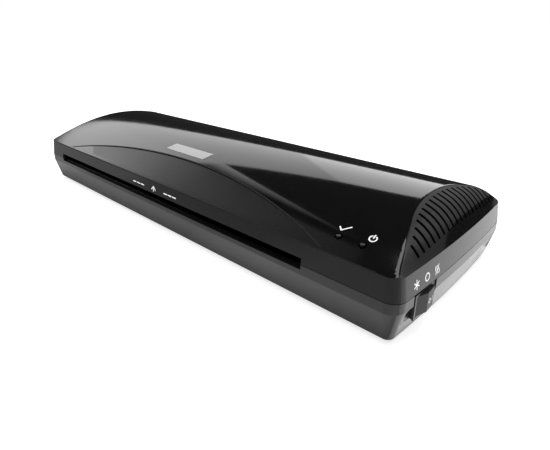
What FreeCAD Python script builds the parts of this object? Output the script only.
"""Pouch laminator for A3 film pouches, as a parametric FreeCAD document.

Frame: +X along the machine towards the switch end, +Y from the entry slot to the exit slot, +Z up.
The origin is under the middle of the machine, on the surface that its rubber feet stand on.
A pouch enters the slot in the front wall (-Y), is pulled between two heated rubber rollers and
leaves through the slot in the rear wall. The gears, the motor and the electrics are at +X.
"""

import FreeCAD, Part
import math
import os
import re

import Sketcher
from FreeCAD import Placement, Rotation
from FreeCAD import Vector as V

doc = FreeCAD.newDocument("pouch_laminator")
sheet = doc.addObject("Spreadsheet::Sheet", "sheet")

DIMENSIONS = [
    ("length", 436, "overall length"),
    ("depth", 155, "overall depth"),
    ("bow", 2.6, "how far each end bulges out at its middle"),
    ("corner_radius", 9.5, "plan radius of the four corners at the parting line"),
    ("wall", 2.4, "wall of both casings"),
    ("base_bottom", 3, "underside of the base, above the soles of the feet"),
    ("base_floor", 5.4, "upper face of the floor of the base"),
    ("band_bottom", 24, "lower edge of the upright band of the base"),
    ("skirt_angle", 13.65, "slope of the skirt of the base, degrees"),
    ("sole_round", 2.5, "rounding along the bottom edge of the base"),
    ("parting", 31, "height of the parting line"),
    ("parting_gap", 0.4, "shadow gap between the casings"),
    ("tongue_top", 32.6, "top of the tongue that locates the cover"),
    ("tongue_inset", 1.6, "outer face of the tongue, in from the casing"),
    ("rebate_inset", 1.3, "rebate in the cover that takes the tongue"),
    ("crease", 45, "top of the upright band of the cover"),
    ("draft", 7.73, "draft of that band, degrees"),
    ("crease_y", 75.6, "distance of the front and rear creases from the middle"),
    ("crease_x", 216.1, "distance of the end creases from the middle"),
    ("ridge", 66.3, "highest point of the cover"),
    ("ridge_y", 6, "distance of the ridge behind the middle"),
    ("arch_radius", 167, "arch of the cover, front to back"),
    ("rear_break", 50, "where the arch turns down to the rear"),
    ("facet_peak", -45, "where the arc of the front facet peaks"),
    ("facet_radius", 470, "plan radius of that arc"),
    ("facet_step", 0.6, "step down into the facet at its middle"),
    ("left_lean", 2.1, "rise of the left end panel for each millimetre inwards"),
    ("panel_round", 6, "rounding between the end panels and the arch"),
    ("slot_left", -184, "left end of the pouch slots"),
    ("slot_right", 150.6, "right end of the pouch slots"),
    ("slot_top", 35, "top edge of the slots"),
    ("slot_sill", 29.4, "sill of the slots"),
    ("vent_first", -51.3, "first ventilation slit across the depth"),
    ("vent_pitch", 6.4, "distance between ventilation slits"),
    ("vent_width", 2.2, "width of a ventilation slit"),
    ("vent_outer", 212, "outer end of the slits"),
    ("post_along", 203, "screw posts from the middle, along the length"),
    ("post_across", 65, "screw posts from the middle, across the depth"),
    ("post_joint", 18, "height where the posts of base and cover meet"),
    ("foot_along", 170, "feet from the middle, along the length"),
    ("foot_across", 54, "feet from the middle, across the depth"),
    ("foot_radius", 7, "radius of a foot"),
    ("nip", 32.5, "height of the line where the rollers meet"),
    ("roller_radius", 11, "outside of the silicone sleeves"),
    ("roller_pitch", 22.4, "distance between the two roller shafts"),
    ("roller_left", -187, "left end of the sleeves"),
    ("roller_right", 153, "right end of the sleeves"),
    ("shaft_radius", 4, "roller shafts"),
    ("running_fit", 0.05, "radial clearance of shafts in their bores"),
    ("frame_left", -191, "inner face of the left side frame"),
    ("frame_right", 157, "inner face of the right side frame"),
    ("frame_plate", 2, "thickness of the side frames"),
    ("frame_half", 26, "half width of the side frames"),
    ("frame_foot", 9, "height of the pads that the side frames stand on"),
    ("frame_top", 59, "top of the side frames"),
    ("bush_radius", 6, "outside of the roller bushes"),
    ("bush_hole", 6.05, "radius of the holes that take the bushes"),
    ("shoe_groove", 12, "inner radius of the heat shoes"),
    ("shoe_half", 14.5, "half width of the heat shoes"),
    ("shoe_depth", 13.5, "shaft to the outer face of a heat shoe"),
    ("gear_start", 161.5, "inner face of the gears"),
    ("gear_width", 8, "face width of the gears"),
    ("gear_teeth", 22, "teeth of the roller gears, module 1"),
    ("pinion_teeth", 15, "teeth of the pinion, module 1"),
    ("pinion_y", 17.7, "motor shaft behind the rollers"),
    ("pinion_z", 27, "height of the motor shaft"),
    ("motor_y", 24.5, "middle of the motor can behind the rollers"),
    ("motor_z", 31.5, "height of the middle of the motor can"),
    ("motor_radius", 24.5, "motor can"),
    ("plate_start", 174.5, "inner face of the motor plate"),
    ("plate_thick", 1.5, "thickness of the motor plate"),
    ("motor_length", 20, "length of the motor can"),
    ("switch_y", -48, "middle of the rocker switch across the depth"),
    ("switch_z", 21.9, "height of the middle of the rocker switch"),
    ("pod_face", 215.6, "flat face of the base round the switch"),
    ("bezel_face", 216.8, "outer face of the bezel of the switch"),
    ("rocker_pivot", 213, "distance of the pivot of the rocker from the middle"),
    ("rocker_tip", 217.4, "ends of the rocker when it is level"),
    ("rocker_crest", 219.2, "crest between the two faces of the rocker"),
    ("rocker_half", 9.2, "half length of the rocker"),
    ("rocker_rest", 6, "tilt of the rocker as it is drawn, rear end out, degrees"),
    ("scoop_face", 214, "floor of the scoop in front of the switch"),
    ("lamp_ready", 167.6, "ready lamp along the length"),
    ("lamp_power", 184, "power lamp along the length"),
    ("lamp_y", -63.9, "both lamps across the depth"),
    ("lamp_radius", 1.5, "radius of a lamp"),
    ("well_radius", 2.4, "radius of the shallow well round a lamp"),
    ("board_z", 40, "underside of the circuit board"),
    ("board_thick", 1.6, "thickness of the circuit board"),
    ("gland_x", 190, "cord entry along the length"),
    ("gland_z", 15.5, "height of the cord entry"),
    ("gland_bore", 3.6, "radius of the bore of the cord entry"),
    ("clamp_y", 60, "cord clamp behind the middle"),
    ("clamp_z", 19.4, "underside of the cord clamp"),
    ("gland_seat", 75.2, "seat for the flange of the cord entry"),
]
NAMES = {alias for alias, _, _ in DIMENSIONS}
for line, (alias, value, note) in enumerate(DIMENSIONS, start=1):
    sheet.set(f"A{line}", note)
    sheet.set(f"B{line}", str(value))
    sheet.setAlias(f"B{line}", alias)
doc.recompute()
d = {alias: float(sheet.get(alias)) for alias in NAMES}


def linked(text):
    """The expression with each dimension's name pointing at its cell."""
    return re.sub(r"[A-Za-z_]+", lambda m: f"sheet.{m[0]}" if m[0] in NAMES else m[0], str(text))


def number(text):
    """What an expression comes to."""
    return float(sheet.evalExpression(linked(text)))


def bind(thing, **properties):
    """Binds properties to expressions; a double underscore stands for a dot."""
    for name, text in properties.items():
        thing.setExpression(name.replace("__", "."), linked(text))
    return thing


def place(thing, x, y, z):
    bind(thing, Placement__Base__x=x, Placement__Base__y=y, Placement__Base__z=z)
    return thing


def box(x, y, z):
    """A block between two expressions along each axis."""
    block = doc.addObject("Part::Box", "block")
    bind(
        block,
        Length=f"({x[1]}) - ({x[0]})",
        Width=f"({y[1]}) - ({y[0]})",
        Height=f"({z[1]}) - ({z[0]})",
    )
    return place(block, x[0], y[0], z[0])


TURN_TO = {
    "x": Rotation(V(0, 1, 0), 90),
    "y": Rotation(V(1, 0, 0), -90),
    "z": Rotation(),
}


def rod(axis, radius, start, length, at):
    """A cylinder along an axis. at gives its middle on the other two axes, in X, Y, Z order."""
    cylinder = doc.addObject("Part::Cylinder", "rod")
    cylinder.Placement.Rotation = TURN_TO[axis]
    bind(cylinder, Radius=radius, Height=length)
    where = list(at)
    where.insert("xyz".index(axis), start)
    return place(cylinder, *where)


def fuse(*solids):
    joined = doc.addObject("Part::MultiFuse", "joined")
    joined.Shapes = list(solids)
    return joined


def cut(stock, *tools):
    tool = tools[0] if len(tools) == 1 else fuse(*tools)
    result = doc.addObject("Part::Cut", "cut")
    result.Base = stock
    result.Tool = tool
    return result


def group(*solids):
    """Separate solids that share one node."""
    together = doc.addObject("Part::Compound", "group")
    together.Links = list(solids)
    return together


def made(shape):
    """A feature that holds a shape made from the sheet's values."""
    feature = doc.addObject("Part::Feature", "made")
    feature.Shape = shape
    return feature


NODES = {}


def node(name, thing):
    thing.Label = name
    NODES[name] = thing
    return thing


# ---------------------------------------------------------------- sketches


def sketch_on(body, role, offset=0):
    """An empty sketch on one of the body's own origin planes, moved along its normal."""
    sketch = body.newObject("Sketcher::SketchObject", "sketch")
    plane = next(f for f in body.Origin.OriginFeatures if f.Role == role)
    sketch.AttachmentSupport = (plane, [""])
    sketch.MapMode = "FlatFace"
    if offset:
        sketch.setExpression("AttachmentOffset.Base.z", linked(offset))
    return sketch


def polygon(sketch, corners):
    """A closed outline of straight lines, with every corner tied to the sheet."""
    points = [V(number(x), number(y), 0) for x, y in corners]
    count = len(points)
    for i in range(count):
        sketch.addGeometry(Part.LineSegment(points[i], points[(i + 1) % count]))
    for i in range(count):
        sketch.addConstraint(Sketcher.Constraint("Coincident", i, 2, (i + 1) % count, 1))
    for i, (x, y) in enumerate(corners):
        for kind, text, value in (("DistanceX", x, points[i].x), ("DistanceY", y, points[i].y)):
            tie = sketch.addConstraint(Sketcher.Constraint(kind, -1, 1, i, 1, value))
            sketch.setExpression(f"Constraints[{tie}]", linked(text))
    return sketch


END_RADIUS = "(depth * depth / 4 + bow * bow) / (2 * bow)"


def plan_arcs(inset):
    """The plan of the casing, set in by a distance: straight front and rear, bowed ends.

    Returns its curves in order, anticlockwise from the front edge.
    """
    half_y = d["depth"] / 2 - inset
    radius = d["corner_radius"] - inset
    end_radius = number(END_RADIUS) - inset
    end_centre = d["length"] / 2 - number(END_RADIUS)
    corner_y = half_y - radius
    corner_x = end_centre + math.sqrt((end_radius - radius) ** 2 - corner_y**2)
    turn = math.atan2(corner_y, corner_x - end_centre)
    half = math.pi / 2

    def arc(x, y, r, start, stop):
        return Part.ArcOfCircle(Part.Circle(V(x, y, 0), V(0, 0, 1), r), start, stop)

    return [
        Part.LineSegment(V(-corner_x, -half_y, 0), V(corner_x, -half_y, 0)),
        arc(corner_x, -corner_y, radius, -half, -turn),
        arc(end_centre, 0, end_radius, -turn, turn),
        arc(corner_x, corner_y, radius, turn, half),
        Part.LineSegment(V(corner_x, half_y, 0), V(-corner_x, half_y, 0)),
        arc(-corner_x, corner_y, radius, half, math.pi - turn),
        arc(-end_centre, 0, end_radius, math.pi - turn, math.pi + turn),
        arc(-corner_x, -corner_y, radius, math.pi + turn, 3 * half),
    ]


def plan_sketch(sketch, inset):
    """Adds the plan of the casing to a sketch and ties it to the sheet."""
    first = sketch.GeometryCount
    curves = plan_arcs(number(inset))
    for curve in curves:
        sketch.addGeometry(curve)

    def tie(kind, *rest, text=None):
        index = sketch.addConstraint(Sketcher.Constraint(kind, *rest))
        if text is not None:
            sketch.setExpression(f"Constraints[{index}]", linked(text))

    for i in range(8):
        tie("Tangent", first + i, 2, first + (i + 1) % 8, 1)
    half_y = f"(depth / 2 - ({inset}))"
    tie("DistanceY", -1, 1, first, 1, -number(half_y), text=f"-{half_y}")
    tie("DistanceY", -1, 1, first + 4, 1, number(half_y), text=half_y)
    for i in (1, 3, 5, 7):
        tie("Radius", first + i, curves[i].Radius, text=f"corner_radius - ({inset})")
    for i, side in ((2, 1), (6, -1)):
        tie("Radius", first + i, curves[i].Radius, text=f"{END_RADIUS} - ({inset})")
        middle = f"{side} * (length / 2 - {END_RADIUS})"
        tie("DistanceX", -1, 1, first + i, 3, number(middle), text=middle)
        tie("DistanceY", -1, 1, first + i, 3, 0)
    return sketch


def new_body(name):
    return node(name, doc.addObject("PartDesign::Body", name))


def pad(body, sketch, length, taper=0, reversed_way=False, midplane=False):
    feature = body.newObject("PartDesign::Pad", "pad")
    feature.Profile = sketch
    bind(feature, Length=length)
    feature.Reversed = reversed_way
    feature.Midplane = midplane
    if taper:
        bind(feature, TaperAngle=taper)
    return feature


def pocket(body, sketch, length, taper=0, reversed_way=False, midplane=False):
    """A cut along the sketch's normal. It fails loudly if it takes nothing away."""
    doc.recompute()
    before = body.Shape.Volume
    feature = body.newObject("PartDesign::Pocket", "pocket")
    feature.Profile = sketch
    bind(feature, Length=length)
    feature.Reversed = reversed_way
    feature.Midplane = midplane
    if taper:
        bind(feature, TaperAngle=taper)
    doc.recompute()
    if body.Shape.Volume > before - 1e-3:
        raise RuntimeError(f"a pocket of {body.Label} cut nothing")
    return feature


def revolve(body, corners):
    """Turns a half profile, given as (along X, radius), round the X axis."""
    sketch = polygon(sketch_on(body, "XZ_Plane"), corners)
    feature = body.newObject("PartDesign::Revolution", "turned")
    feature.Profile = sketch
    feature.ReferenceAxis = (sketch, ["H_Axis"])
    feature.Angle = 360
    return feature


def pad_of(name, role, offset, corners, length):
    """A body that is one straight outline pushed out along the plane's normal."""
    body = doc.addObject("PartDesign::Body", name)
    pad(body, polygon(sketch_on(body, role, offset), corners), length)
    return body


def bar(name, corners, start, stop):
    """A bar along the machine; its outline is given as (across, height) from the front."""
    return pad_of(name, "YZ_Plane", start, corners, f"({stop}) - ({start})")


LOWER = "(nip - roller_pitch / 2)"
UPPER = "(nip + roller_pitch / 2)"
SIDES = (1, -1)
CORNERS = [(a, b) for a in SIDES for b in SIDES]


# ---------------------------------------------------------------- base


def plan_pad(body, height, inset, length, taper=None, down=False):
    sketch = plan_sketch(sketch_on(body, "XY_Plane", height), inset)
    return pad(body, sketch, length, taper, reversed_way=down)


def edges_at(shape, height):
    """Names of the edges that lie flat at a height."""
    names = []
    for i, edge in enumerate(shape.Edges, start=1):
        bounds = edge.BoundBox
        if abs(bounds.ZMin - height) < 1e-4 and abs(bounds.ZMax - height) < 1e-4:
            names.append(f"Edge{i}")
    return names


def base_tray():
    """The base without its fittings: band, skirt, floor and the tongue for the cover."""
    body = doc.addObject("PartDesign::Body", "base_tray")
    plan_pad(body, "band_bottom", "0", "parting - parting_gap - band_bottom")
    plan_pad(body, "band_bottom", "0", "band_bottom - base_bottom", "-skirt_angle", down=True)
    doc.recompute()
    sharp = body.Tip
    rounding = body.newObject("PartDesign::Fillet", "sole_round")
    rounding.Base = (sharp, edges_at(sharp.Shape, d["base_bottom"]))
    bind(rounding, Radius="sole_round")
    inside = plan_sketch(sketch_on(body, "XY_Plane", "parting - parting_gap"), "wall")
    pocket(body, inside, "parting - parting_gap - band_bottom")
    well = plan_sketch(sketch_on(body, "XY_Plane", "band_bottom"), "wall")
    pocket(body, well, "band_bottom - base_floor", taper="-skirt_angle")
    ring = sketch_on(body, "XY_Plane", "parting - parting_gap")
    plan_sketch(plan_sketch(ring, "tongue_inset"), "wall")
    pad(body, ring, "tongue_top - parting + parting_gap")
    return body


def switch_pod():
    """The upright block inside the skirt that carries the switch and backs the scoop."""
    outline = [
        ("210", "switch_y - 20"),
        ("scoop_face", "switch_y - 20"),
        ("scoop_face", "switch_y - 12.5"),
        ("pod_face", "switch_y - 12.5"),
        ("pod_face", "switch_y + 12.5"),
        ("210", "switch_y + 12.5"),
    ]
    return pad_of("switch_pod", "XY_Plane", "15", outline, "parting - parting_gap - 15")


def scoop():
    """The rounded hollow in the skirt in front of the switch."""
    depth = "length / 2 + 2 - scoop_face"
    hollow = box(
        ("scoop_face", "length / 2 + 2"), ("switch_y - 15.4", "switch_y - 12"), ("15", "band_bottom")
    )
    return fuse(hollow, rod("x", "4.5", "scoop_face", depth, ("switch_y - 15.4", "19.5")))


def base_slot_tools():
    """Room for the pouch through the tongue and band, with a lead-in at the front."""
    front = [
        ("-depth / 2 - 1", "slot_sill - 2.8"),
        ("-depth / 2 + wall", "slot_sill"),
        ("-depth / 2 + 4", "slot_sill"),
        ("-depth / 2 + 4", "parting + 5"),
        ("-depth / 2 - 1", "parting + 5"),
    ]
    rear = box(
        ("slot_left", "slot_right"), ("depth / 2 - 4", "depth / 2 + 1"), ("slot_sill", "parting + 5")
    )
    return [bar("front_lead_in", front, "slot_left", "slot_right"), rear]


def base_shell():
    solids = [base_tray(), switch_pod()]
    for a, b in CORNERS:
        at = (f"{a} * post_along", f"{b} * post_across")
        solids.append(rod("z", "4.2", "base_bottom + 1", "post_joint - base_bottom - 1", at))
    for x in ("frame_left - frame_plate - 5", "frame_right + frame_plate + 5"):
        for b in SIDES:
            at = (x, f"{b} * (frame_half - 5.5)")
            solids.append(rod("z", "4", "base_bottom + 1", "frame_foot - base_bottom - 1", at))
    solids.append(rod("y", "9", "gland_seat - 6.5", "5", ("gland_x", "gland_z")))
    for x in ("gland_x - 7", "gland_x + 7"):
        solids.append(rod("z", "3", "base_bottom + 1", "clamp_z - base_bottom - 1", (x, "clamp_y")))

    tools = base_slot_tools()
    tools.append(scoop())
    tools.append(
        box(
            ("pod_face", "length / 2 + 5"),
            ("switch_y - 12.5", "switch_y + 12.5"),
            ("switch_z - 8.4", "parting + 5"),
        )
    )
    tools.append(
        box(
            ("195", "length / 2"),
            ("switch_y - 11", "switch_y + 11"),
            ("switch_z - 7.7", "switch_z + 7.7"),
        )
    )
    for a, b in CORNERS:
        at = (f"{a} * post_along", f"{b} * post_across")
        tools.append(rod("z", "3.3", "base_bottom - 1", "8", at))
        tools.append(rod("z", "1.7", "base_bottom", "post_joint", at))
    for x in ("frame_left - frame_plate - 5", "frame_right + frame_plate + 5"):
        for b in SIDES:
            tools.append(rod("z", "1.25", "base_floor - 0.4", "5", (x, f"{b} * (frame_half - 5.5)")))
    tools.append(rod("y", "8.2", "gland_seat", "10", ("gland_x", "gland_z")))
    tools.append(rod("y", "5.05", "gland_seat - 10", "15", ("gland_x", "gland_z")))
    for x in ("gland_x - 7", "gland_x + 7"):
        tools.append(rod("z", "1.25", "clamp_z - 8", "9", (x, "clamp_y")))
    return node("base_shell", cut(fuse(*solids), *tools))


# ---------------------------------------------------------------- cover


def arch_angle(y):
    """Angle round the arch from its ridge, negative towards the front."""
    return math.asin((y - d["ridge_y"]) / d["arch_radius"])


def arch_height(y):
    """Height of the outside of the cover where nothing is cut into the arch."""
    return d["ridge"] - d["arch_radius"] * (1 - math.cos(arch_angle(y)))


def rear_turn(inset):
    """Start, middle, end and centre of the tighter arc that takes the arch down to the rear."""
    radius = d["arch_radius"] - inset
    centre = d["ridge"] - d["arch_radius"]
    rise = math.sqrt(radius**2 - (d["rear_break"] - d["ridge_y"]) ** 2)
    start = V(0, d["rear_break"], centre + rise)
    slope = -math.asin((d["rear_break"] - d["ridge_y"]) / radius)
    crease = V(0, d["crease_y"] - inset * 0.6, d["crease"] - inset * 0.8)
    chord = crease - start
    bend = slope - math.atan2(chord.z, chord.y)
    turn_radius = chord.Length / (2 * math.sin(bend))
    turn_centre = start + V(0, math.sin(slope), -math.cos(slope)) * turn_radius
    middle = turn_centre + V(0, math.sin(bend - slope), math.cos(bend - slope)) * turn_radius
    finish = slope - 2 * bend - 0.1
    end = turn_centre + V(0, -math.sin(finish), math.cos(finish)) * turn_radius
    return start, middle, end, turn_centre


def arch_bar(inset):
    """The arched section of the cover, drawn across the depth and run along the length."""
    radius = d["arch_radius"] - inset
    centre = d["ridge"] - d["arch_radius"]
    front_y = -d["crease_y"] - 4
    front = V(0, front_y, centre + math.sqrt(radius**2 - (front_y - d["ridge_y"]) ** 2))
    top = V(0, d["ridge_y"], centre + radius)
    turn, middle, end, _ = rear_turn(inset)
    low = d["parting"] - 5
    curves = [
        Part.Arc(front, top, turn),
        Part.Arc(turn, middle, end),
        Part.LineSegment(end, V(0, end.y, low)),
        Part.LineSegment(V(0, end.y, low), V(0, front.y, low)),
        Part.LineSegment(V(0, front.y, low), front),
    ]
    section = Part.Face(Part.Wire([c.toShape() for c in curves]))
    section.translate(V(-d["length"] / 2 - 5, 0, 0))
    return made(section.extrude(V(d["length"] + 10, 0, 0)))


def cover_height(y):
    """Height of the outside of the arch at any distance across the depth."""
    if y <= d["rear_break"]:
        return arch_height(y)
    start, _, _, centre = rear_turn(0)
    radius = (start - centre).Length
    return centre.z + math.sqrt(radius**2 - (y - centre.y) ** 2)


def end_rise(inward, side=1):
    """How far an end panel has risen above the crease, this far in from it."""
    if side < 0:
        return d["left_lean"] * inward
    lean = 1.6
    straight = 5.0
    bend_radius = 25.7
    flat_x = straight + bend_radius * math.sin(math.atan(lean))
    flat_z = straight * lean + bend_radius * (1 - math.cos(math.atan(lean)))
    shallow = math.atan(0.38)
    bend_end = flat_x - bend_radius * math.sin(shallow)
    if inward <= straight:
        return lean * inward
    if inward <= bend_end:
        return flat_z - bend_radius + math.sqrt(bend_radius**2 - (flat_x - inward) ** 2)
    top = flat_z - bend_radius * (1 - math.cos(shallow))
    return top + math.tan(shallow) * (inward - bend_end)


def end_swell(y):
    """The end panel rises most under the ridge and less towards front and rear."""
    return 1 - 0.25 * ((y - d["ridge_y"]) / 57) ** 2


def end_crease(y):
    """Where the end crease runs in plan."""
    radius = number(END_RADIUS)
    return d["crease_x"] - radius + math.sqrt(radius**2 - y**2)


def panel_top(y):
    """How far from the middle the end panel meets the arch."""
    inward = 0.0
    while end_rise(inward) * end_swell(y) < cover_height(y) - d["crease"]:
        inward += 0.05
    return end_crease(y) - inward


def above(rows, lift):
    """The solid between a smooth sheet through the rows of points and its copy higher up."""
    surface = Part.BSplineSurface()
    surface.interpolate(rows)
    return surface.toShape().extrude(V(0, 0, lift))


def end_cutter(side, inward, down):
    """Everything outside an end panel, moved in and down to make the inside."""
    rows = []
    for i in range(24):
        t = -8 + 2.2 * i
        row = []
        for j in range(13):
            y = -90 + 15 * j
            height = d["crease"] + end_rise(t, side) * end_swell(y) - down
            row.append(V(side * (end_crease(y) - t - inward), y, height))
        rows.append(row)
    return above(rows, 60)


def facet_cutter(down=0):
    """What is cut away over the front facet, inside its arc in plan."""
    crease_angle = arch_angle(-d["crease_y"])
    centre_y = d["facet_peak"] - d["facet_radius"]
    shallower = d["facet_step"] / (d["facet_peak"] + d["crease_y"])
    rows = []
    for i in range(21):
        x = -200 + 20 * i
        arc_y = centre_y + math.sqrt(d["facet_radius"] ** 2 - x**2)
        chord = -math.tan((crease_angle + arch_angle(arc_y)) / 2) - shallower
        row = []
        for j in range(6):
            y = -d["crease_y"] - 6 + 9 * j
            row.append(V(x, y, d["crease"] + chord * (y + d["crease_y"]) - down))
        rows.append(row)
    front_of_arc = Part.makeCylinder(d["facet_radius"], 100, V(0, centre_y, 0))
    return above(rows, 40).common(front_of_arc)


def cover_form(inset):
    """The cover as a solid lump. inset 0 is its outside, the wall's thickness its inside."""
    body = doc.addObject("PartDesign::Body", "cover_lump")
    plan_pad(body, "parting", str(inset), "ridge - parting + 4", "-draft")
    share = inset / d["wall"]
    right = end_cutter(1, 1.6 * share, 1.9 * share)
    left = end_cutter(-1, 1.9 * share, 1.4 * share)
    facet = facet_cutter(2.2 * share)
    lump = doc.addObject("Part::Common", "arched_lump")
    lump.Base = body
    lump.Tool = arch_bar(inset)
    return cut(lump, made(right), made(left), made(facet))


def soften_panels(lump):
    """Rounds the crease where each end panel meets the arch."""
    doc.recompute()
    creases = []
    for i, edge in enumerate(lump.Shape.Edges, start=1):
        bounds = edge.BoundBox
        at_end = bounds.XMin > 190 or bounds.XMax < -190
        if at_end and bounds.ZMax > d["rear_break"] and edge.Length > 20:
            creases.append((i, d["panel_round"], d["panel_round"]))
    rounded = doc.addObject("Part::Fillet", "rounded_lump")
    rounded.Base = lump
    rounded.Edges = creases
    return rounded


def vents():
    """Slits through the right end panel. Their inner ends follow the crease of the panel."""
    slits = []
    for i in range(19):
        y = f"vent_first + {i} * vent_pitch"
        inner = panel_top(number(y)) + 3
        slits.append(
            box(
                (f"{inner:.2f}", "vent_outer"),
                (f"{y} - vent_width / 2", f"{y} + vent_width / 2"),
                ("crease + 1", "ridge + 10"),
            )
        )
    return fuse(*slits)


def top_cover():
    outside = soften_panels(cover_form(0))
    lower_posts = []
    upper_posts = []
    for a, b in CORNERS:
        at = (f"{a} * post_along", f"{b} * post_across")
        lower_posts.append(rod("z", "4", "post_joint", "parting - post_joint", at))
        upper_posts.append(rod("z", "4", "parting", "ridge - parting", at))
    for x in ("lamp_ready - 4", "lamp_power + 10"):
        upper_posts.append(rod("z", "3", "board_z + board_thick", "ridge - board_z", (x, "-36")))
    trimmed = doc.addObject("Part::Common", "trimmed_posts")
    trimmed.Base = outside
    trimmed.Tool = fuse(*upper_posts)
    shell = cut(outside, cover_form(d["wall"]))
    solids = [shell, trimmed] + lower_posts

    rebate = doc.addObject("PartDesign::Body", "rebate")
    plan_pad(rebate, "parting - 1", "rebate_inset", "tongue_top - parting + 1.3")
    keep = []
    for a, b in CORNERS:
        at = (f"{a} * post_along", f"{b} * post_across")
        keep.append(rod("z", "4", "parting - 2", "8", at))
    tools = [cut(rebate, *keep)]
    for y in (("-depth / 2 - 1", "-depth / 2 + 6"), ("depth / 2 - 6", "depth / 2 + 1")):
        tools.append(box(("slot_left", "slot_right"), y, ("parting - 1", "slot_top")))
    for x in ("lamp_ready", "lamp_power"):
        tools.append(rod("z", "lamp_radius + 0.1", "board_z", "ridge - board_z", (x, "lamp_y")))
        well = arch_height(d["lamp_y"]) - 1.3
        tools.append(rod("z", "well_radius", f"{well:.2f}", "6", (x, "lamp_y")))
    for a, b in CORNERS:
        at = (f"{a} * post_along", f"{b} * post_across")
        tools.append(rod("z", "1.5", "post_joint - 1", "16", at))
    for x in ("lamp_ready - 4", "lamp_power + 10"):
        tools.append(rod("z", "1.25", "board_z", "9", (x, "-36")))
    tools.append(vents())
    return node("top_cover", cut(fuse(*solids), *tools))


# ---------------------------------------------------------------- feet and screws


def screw(axis, head, start, length, at, thread, way=1, head_high=1.8):
    """A pan-head screw whose shank runs from start along the axis, or against it if way is -1."""
    if way > 0:
        top = rod(axis, head, f"{start} - {head_high}", head_high, at)
        return fuse(top, rod(axis, thread, start, length, at))
    top = rod(axis, head, start, head_high, at)
    return fuse(top, rod(axis, thread, f"{start} - ({length})", length, at))


def feet_and_case_screws():
    feet = []
    screws = []
    for a, b in CORNERS:
        feet.append(rod("z", "foot_radius", 0, "base_bottom", (f"{a} * foot_along", f"{b} * foot_across")))
        at = (f"{a} * post_along", f"{b} * post_across")
        plain = screw("z", "3", "8", "20", at, "1.45")
        across = box((f"{at[0]} - 2", f"{at[0]} + 2"), (f"{at[1]} - 0.4", f"{at[1]} + 0.4"), ("6", "7.2"))
        along = box((f"{at[0]} - 0.4", f"{at[0]} + 0.4"), (f"{at[1]} - 2", f"{at[1]} + 2"), ("6", "7.2"))
        screws.append(cut(plain, across, along))
    node("rubber_feet", group(*feet))
    node("case_screws", group(*screws))


# ---------------------------------------------------------------- pouch path


def guides():
    """Plates that lead the pouch to the rollers and away from them."""
    left = "frame_left"
    right = "slot_right + 2"
    lower_in = [
        ("-73", "slot_sill - 3"),
        ("-73", "slot_sill - 1.4"),
        ("-17", "nip - 1.2"),
        ("-17", "nip - 2.4"),
    ]
    upper_in = [
        ("-73", "slot_top + 1"),
        ("-17", "nip + 1.2"),
        ("-17", "nip + 2.4"),
        ("-73", "slot_top + 2.2"),
    ]
    lower_out = [
        ("17", "nip - 2.4"),
        ("17", "nip - 1.2"),
        ("72.5", "slot_sill - 0.2"),
        ("72.5", "slot_sill - 1.4"),
    ]
    upper_out = [
        ("17", "nip + 1.2"),
        ("72.5", "slot_top + 0.4"),
        ("72.5", "slot_top + 1.6"),
        ("17", "nip + 2.4"),
    ]
    tab = "frame_right"
    for name, outline, y, z in (
        ("entry_guide_lower", lower_in, -1, "nip - 2.4"),
        ("entry_guide_upper", upper_in, -1, "nip + 1.2"),
        ("exit_guide_lower", lower_out, 1, "nip - 2.4"),
        ("exit_guide_upper", upper_out, 1, "nip + 1.2"),
    ):
        plate = bar(name + "_plate", outline, left, right)
        near = sorted((f"{y} * 17", f"{y} * 24"), key=number)
        lug = box((f"{right} - 4", tab), near, (z, f"{z} + 1.2"))
        node(name, fuse(plate, lug))


# ---------------------------------------------------------------- side frames and rollers


SPACERS = [("23.3", "16"), ("22", "50"), ("-13", "nip")]


def side_frame(name, inner, way):
    """An upright plate with feet turned outward, a lower bore and an upper slot."""
    outer = f"{inner} + {way} * frame_plate"
    plate = box(sorted((inner, outer), key=number), ("-frame_half", "frame_half"), ("frame_foot", "frame_top"))
    solids = [plate]
    tools = [
        rod("x", "bush_hole", f"{inner} - 5", "10", ("0", LOWER)),
        box((f"{inner} - 5", f"{inner} + 5"), ("-bush_hole", "bush_hole"), (UPPER, "frame_top - 4")),
        rod("x", "bush_hole", f"{inner} - 5", "10", ("0", UPPER)),
    ]
    for b in SIDES:
        across = sorted((f"{b} * (frame_half - 11)", f"{b} * frame_half"), key=number)
        toe = f"{outer} + {way} * 9"
        solids.append(box(sorted((inner, toe), key=number), across, ("frame_foot", "frame_foot + 1.6")))
        at = (f"{outer} + {way} * 5", f"{b} * (frame_half - 5.5)")
        tools.append(rod("z", "1.3", "frame_foot - 1", "5", at))
        for z in (f"{LOWER} - 10.6", f"{UPPER} + 10.6"):
            tools.append(rod("x", "1.3", f"{inner} - 5", "10", (f"{b} * 12", z)))
    if way > 0:
        tools += [rod("x", "1.3", f"{inner} - 5", "10", at) for at in SPACERS]
    return node(name, cut(fuse(*solids), *tools))


def frame_screws():
    screws = []
    for inner, way in (("frame_left", -1), ("frame_right", 1)):
        for b in SIDES:
            at = (f"{inner} + {way} * (frame_plate + 5)", f"{b} * (frame_half - 5.5)")
            screws.append(screw("z", "2.6", "frame_foot + 1.6", "5", at, "1.2", way=-1, head_high=1.5))
            for z in (f"{LOWER} - 10.6", f"{UPPER} + 10.6"):
                at = (f"{b} * 12", z)
                start = f"{inner} + {way} * frame_plate"
                screws.append(screw("x", "2.2", start, "8", at, "1", way=-way, head_high=1.2))
    node("frame_screws", group(*screws))


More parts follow.
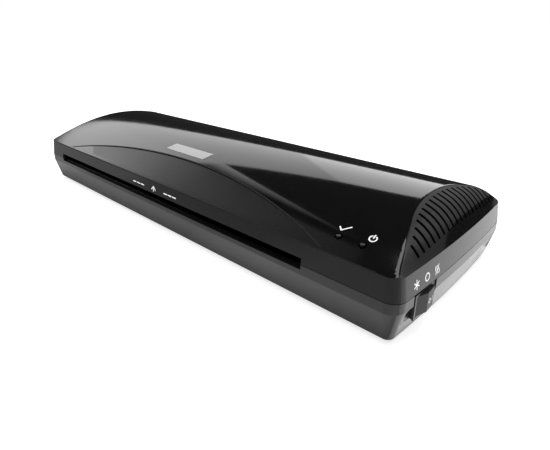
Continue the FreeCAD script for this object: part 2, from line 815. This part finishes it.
def shoes():
    """Aluminium channels round the outer half of each roller, and their heater strips."""
    for name, axis, way in (("lower", LOWER, -1), ("upper", UPPER, 1)):
        height = sorted((f"{axis} + {way}", f"{axis} + {way} * shoe_depth"), key=number)
        block = box(("frame_left", "frame_right"), ("-shoe_half", "shoe_half"), height)
        tools = [rod("x", "shoe_groove", "frame_left - 1", "360", ("0", axis))]
        for b in SIDES:
            for x in ("frame_left - 1", "frame_right - 7"):
                tools.append(rod("x", "1", x, "8", (f"{b} * 12", f"{axis} + {way} * 10.6")))
        node(f"heat_shoe_{name}", cut(block, *tools))
        face = sorted((f"{axis} + {way} * shoe_depth", f"{axis} + {way} * (shoe_depth + 0.8)"), key=number)
        node(f"heater_strip_{name}", box(("-180", "118"), ("-7", "7"), face))
    top = f"{UPPER} + shoe_depth"
    body = rod("z", "5", top, "2.6", ("134", "-2"))
    cap = rod("z", "3.4", f"{top} + 2.6", "1", ("134", "-2"))
    ears = box(("126", "142"), ("-4", "0"), (top, f"{top} + 0.8"))
    node("thermostat", fuse(body, cap, ears))
    fuse_z = f"{top} + 1.8"
    barrel = rod("x", "1.8", "122", "12", ("9", fuse_z))
    leads = rod("x", "0.5", "114", "28", ("9", fuse_z))
    node("thermal_fuse", fuse(barrel, leads))


def bushes():
    rings = []
    for inner, way in (("frame_left", -1), ("frame_right", 1)):
        for axis in (LOWER, UPPER):
            flange = sorted((inner, f"{inner} - {way} * 1.5"), key=number)
            sleeve = sorted((f"{inner} - {way} * 1.5", f"{inner} + {way} * 3.5"), key=number)
            ring = fuse(
                rod("x", "bush_radius + 2", flange[0], "1.5", ("0", axis)),
                rod("x", "bush_radius", sleeve[0], "5", ("0", axis)),
            )
            rings.append(cut(ring, rod("x", "shaft_radius + running_fit", f"{inner} - 8", "16", ("0", axis))))
    node("roller_bushes", group(*rings))


def springs():
    """Two coil springs that press the upper roller down."""
    coils = []
    coil_radius = 1.2
    low = number(f"{UPPER} + bush_radius") + 0.3
    wire = 0.3
    tall = d["frame_top"] - 4 - wire - low
    for inner, way in (("frame_left", -1), ("frame_right", 1)):
        x = d[inner] + way * 1.8
        path = Part.makeHelix(tall / 4, tall, coil_radius)
        section = Part.Wire(Part.makeCircle(wire, V(coil_radius, 0, 0), V(0, 1, 0)))
        coil = Part.Wire(path).makePipeShell([section], True, True)
        coil.translate(V(x, 0, low))
        coils.append(made(coil))
    node("pressure_springs", group(*coils))


def turned(name, corners):
    """A body turned round the X axis; corners are (along, radius)."""
    body = doc.addObject("PartDesign::Body", name)
    revolve(body, corners)
    return body


def lifted(thing, y, z):
    return bind(thing, Placement__Base__y=y, Placement__Base__z=z)


def roller(name, axis):
    """One roller: steel shaft, silicone sleeve and the two clips that keep it in the frames."""
    start = "frame_left - 7.5"
    stop = "gear_start + gear_width + 3.2"
    corners = [
        (start, "0"),
        (start, "shaft_radius - 0.6"),
        (f"{start} + 0.6", "shaft_radius"),
        (f"{stop} - 0.6", "shaft_radius"),
        (stop, "shaft_radius - 0.6"),
        (stop, "0"),
    ]
    shaft = lifted(turned(f"shaft_{name}_body", corners), "0", axis)
    grooves = []
    clips = []
    for x in ("frame_left - 5.4", "gear_start + gear_width + 0.6"):
        ring = rod("x", "6", x, "1", ("0", axis))
        grooves.append(
            cut(rod("x", "6", x, "1", ("0", axis)), rod("x", "shaft_radius - 0.5", f"{x} - 1", "3", ("0", axis)))
        )
        gap = box((f"{x} - 1", f"{x} + 2"), ("-1.6", "1.6"), (f"{axis} - 8", axis))
        core = rod("x", "shaft_radius - 0.5", f"{x} - 1", "3", ("0", axis))
        clips.append(cut(ring, core, gap))
    node(f"shaft_{name}", cut(shaft, *grooves))
    node(f"clips_{name}", group(*clips))
    sleeve = rod("x", "roller_radius", "roller_left", "roller_right - roller_left", ("0", axis))
    core = rod("x", "shaft_radius", "roller_left - 1", "roller_right - roller_left + 2", ("0", axis))
    node(f"sleeve_{name}", cut(sleeve, core))


def gear(name, teeth, axis_y, axis_z, phase, bore, start="gear_start", width="gear_width"):
    """A spur gear of module 1. phase is the direction of one tooth, in degrees from +Y to +Z."""
    body = doc.addObject("PartDesign::Body", f"{name}_body")
    root = f"({teeth} / 2 - 1.2)"
    disc = sketch_on(body, "YZ_Plane", start)
    disc.addGeometry(Part.Circle(V(0, 0, 0), V(0, 0, 1), number(root)))
    disc.addConstraint(Sketcher.Constraint("Coincident", 0, 3, -1, 1))
    size = disc.addConstraint(Sketcher.Constraint("Radius", 0, number(root)))
    disc.setExpression(f"Constraints[{size}]", linked(root))
    pad(body, disc, width)
    tooth = polygon(
        sketch_on(body, "YZ_Plane", start),
        [
            (f"{root} - 0.4", "-1"),
            (f"{teeth} / 2", "-0.62"),
            (f"{teeth} / 2 + 0.85", "-0.3"),
            (f"{teeth} / 2 + 0.85", "0.3"),
            (f"{teeth} / 2", "0.62"),
            (f"{root} - 0.4", "1"),
        ],
    )
    first = pad(body, tooth, width)
    ring = body.newObject("PartDesign::PolarPattern", "teeth")
    ring.Originals = [first]
    ring.Axis = (disc, ["N_Axis"])
    ring.Angle = 360
    ring.Occurrences = int(d[teeth])
    body.Tip = ring
    body.Placement.Rotation = Rotation(V(1, 0, 0), phase)
    lifted(body, axis_y, axis_z)
    tool = rod("x", bore, f"{start} - 1", f"{width} + 2", (axis_y, axis_z))
    return cut(body, tool)


def gears():
    """Upper and lower roller gears mesh; the pinion drives the lower one from behind."""
    pitch = 360 / d["gear_teeth"]
    node("gear_lower", gear("gear_lower", "gear_teeth", "0", LOWER, 90, "shaft_radius"))
    node("gear_upper", gear("gear_upper", "gear_teeth", "0", UPPER, -90 + pitch / 2, "shaft_radius"))
    toward = math.degrees(math.atan2(d["pinion_z"] - number(LOWER), d["pinion_y"]))
    past_tooth = (toward - 90) % pitch
    from_gap = past_tooth - pitch / 2
    ratio = d["gear_teeth"] / d["pinion_teeth"]
    phase = toward + 180 + from_gap * ratio
    blank = gear("motor_pinion", "pinion_teeth", "pinion_y", "pinion_z", phase, "2.9")
    shaft = rod("x", "2.9", "gear_start - 1", "plate_start + plate_thick + 5 - gear_start", ("pinion_y", "pinion_z"))
    node("motor_pinion", blank)
    node("motor_shaft", shaft)


# ---------------------------------------------------------------- motor


def motor():
    face = "plate_start + plate_thick"
    outline = [("-19", "26"), ("14", "8"), ("56", "10"), ("56", "54"), ("14", "57"), ("-19", "39")]
    plate = bar("motor_plate_blank", outline, "plate_start", face)
    ears = [("motor_y - 28", "motor_z"), ("motor_y + 28", "motor_z")]
    tools = [rod("x", "4", "plate_start - 1", "4", ("pinion_y", "pinion_z"))]
    tools += [rod("x", "1.3", "plate_start - 1", "4", at) for at in SPACERS + ears]
    node("motor_plate", cut(plate, *tools))

    posts = []
    screws = []
    for at in SPACERS:
        post = rod("x", "2.6", "frame_right + frame_plate", "plate_start - frame_right - frame_plate", at)
        rivet = rod("x", "1.3", "plate_start", "plate_thick", at)
        posts.append(cut(fuse(post, rivet), rod("x", "1.25", "frame_right", "9", at)))
        screws.append(screw("x", "2.4", "frame_right", "8", at, "1.2", head_high=1.5))
    node("motor_spacers", group(*posts))

    can = rod("x", "motor_radius", face, "motor_length", ("motor_y", "motor_z"))
    bar_of_ears = box((face, f"{face} + 1"), ("motor_y - 31", "motor_y + 31"), ("motor_z - 4", "motor_z + 4"))
    holes = [rod("x", "1.3", "plate_start", "6", at) for at in ears]
    holes.append(rod("x", "3", f"{face} - 1", "7", ("pinion_y", "pinion_z")))
    node("motor", cut(fuse(can, bar_of_ears), *holes))
    for at in ears:
        screws.append(screw("x", "2.4", f"{face} + 1", "2.5", at, "1.2", way=-1, head_high=1.5))
    node("motor_screws", group(*screws))


# ---------------------------------------------------------------- electrics


def board():
    top = "board_z + board_thick"
    plate = box(("lamp_ready - 12", "lamp_power + 13.5"), ("-71", "-31"), ("board_z", top))
    posts = [("lamp_ready - 4", "-36"), ("lamp_power + 10", "-36")]
    node("circuit_board", cut(plate, *[rod("z", "1.3", "board_z - 1", "4", at) for at in posts]))
    node("board_screws", group(*[screw("z", "2.4", "board_z", "6", at, "1.2") for at in posts]))
    relay = box(("174", "184"), ("-50", "-38"), (top, f"{top} + 9"))
    capacitor = rod("x", "3.5", "160", "9", ("-46", f"{top} + 3.5"))
    plug = box(("188", "194"), ("-56", "-46"), (top, f"{top} + 6"))
    triac = box(("160", "169"), ("-54.5", "-51"), (top, f"{top} + 7"))
    node("board_components", group(relay, capacitor, plug, triac))
    lamps = []
    for x in ("lamp_ready", "lamp_power"):
        at = (x, "lamp_y")
        crown = arch_height(d["lamp_y"]) - 2.5
        column = rod("z", "lamp_radius", f"{top} + 3", f"{crown:.2f} - {top} - 3", at)
        dome = doc.addObject("Part::Sphere", "dome")
        bind(dome, Radius="lamp_radius")
        place(dome, x, "lamp_y", f"{crown:.2f}")
        rim = rod("z", "lamp_radius + 0.3", f"{top} + 3", "1", at)
        legs = [rod("z", "0.3", top, "3.2", (f"{x} + {a} * 0.9", "lamp_y")) for a in SIDES]
        lamps.append(fuse(column, dome, rim, *legs))
    node("ready_lamp", lamps[0])
    node("power_lamp", lamps[1])


def switch():
    flange = box(
        ("pod_face", "bezel_face"),
        ("switch_y - 11.4", "switch_y + 11.4"),
        ("switch_z - 8", "switch_z + 8"),
    )
    case = box(
        ("197", "pod_face"),
        ("switch_y - 10.9", "switch_y + 10.9"),
        ("switch_z - 7.6", "switch_z + 7.6"),
    )
    cavity = box(
        ("204", "bezel_face + 1"),
        ("switch_y - 9.9", "switch_y + 9.9"),
        ("switch_z - 6.7", "switch_z + 6.7"),
    )
    pins = rod("z", "1.5 + running_fit", "switch_z - 7.3", "14.6", ("rocker_pivot", "switch_y"))
    node("switch_housing", cut(fuse(flange, case), cavity, pins))

    outline = [
        ("rocker_pivot - 3", "switch_y - rocker_half + 1.4"),
        ("rocker_pivot - 1", "switch_y - rocker_half"),
        ("rocker_tip", "switch_y - rocker_half"),
        ("rocker_crest", "switch_y"),
        ("rocker_tip", "switch_y + rocker_half"),
        ("rocker_pivot - 1", "switch_y + rocker_half"),
        ("rocker_pivot - 3", "switch_y + rocker_half - 1.4"),
    ]
    cap = pad_of("rocker_cap", "XY_Plane", "switch_z - 6.4", outline, "12.8")
    pivot = V(d["rocker_pivot"], d["switch_y"], 0)
    cap.Placement = Placement(V(), Rotation(V(0, 0, 1), -d["rocker_rest"]), pivot)
    axle = rod("z", "1.5", "switch_z - 7.2", "14.4", ("rocker_pivot", "switch_y"))
    node("switch_rocker", fuse(cap, axle))

    blades = []
    for y in ("switch_y - 6", "switch_y", "switch_y + 6"):
        for z in ("switch_z - 3.5", "switch_z + 3.5"):
            blade = box(("189", "197"), (f"{y} - 0.4", f"{y} + 0.4"), (f"{z} - 2.4", f"{z} + 2.4"))
            blades.append(cut(blade, rod("y", "0.8", f"{y} - 1", "2", ("191.5", z))))
    node("switch_terminals", group(*blades))


def cord_entry():
    """The bushing where the mains cord would enter, and the clamp inside that would hold it."""
    at = ("gland_x", "gland_z")
    flange = rod("y", "8", "gland_seat", "2", at)
    barrel = rod("y", "5", "gland_seat - 8", "9", at)
    node("cord_bushing", cut(fuse(flange, barrel), rod("y", "gland_bore", "gland_seat - 9", "12", at)))
    holes = ("gland_x - 7", "gland_x + 7")
    strap = box(("gland_x - 9.2", "gland_x + 9.2"), ("clamp_y - 3", "clamp_y + 3"), ("clamp_z", "clamp_z + 2"))
    node("cord_clamp", cut(strap, *[rod("z", "1.3", "clamp_z - 1", "4", (x, "clamp_y")) for x in holes]))
    screws = []
    for x in holes:
        screws.append(screw("z", "2.4", "clamp_z + 2", "7", (x, "clamp_y"), "1.2", way=-1, head_high=1.5))
    node("cord_clamp_screws", group(*screws))


def build():
    base_shell()
    top_cover()
    feet_and_case_screws()
    guides()
    side_frame("side_frame_left", "frame_left", -1)
    side_frame("side_frame_right", "frame_right", 1)
    frame_screws()
    shoes()
    bushes()
    springs()
    roller("lower", LOWER)
    roller("upper", UPPER)
    gears()
    motor()
    board()
    switch()
    cord_entry()
    doc.recompute()


def export():
    """Checks every object and writes one file for each node."""
    os.makedirs("parts", exist_ok=True)
    for thing in doc.Objects:
        if "Invalid" in thing.State or "Error" in thing.State:
            raise RuntimeError(f"{thing.Label} did not build")
    for name, thing in NODES.items():
        shape = thing.Shape
        if shape.isNull() or not shape.isValid():
            raise RuntimeError(f"{name} has no valid shape")
        shape.exportStep(f"parts/{name}.step")
        bounds = shape.BoundBox
        print(f"{name}: {len(shape.Solids)} solids, {shape.Volume:.0f} mm3, z from {bounds.ZMin:.1f}")


build()
export()
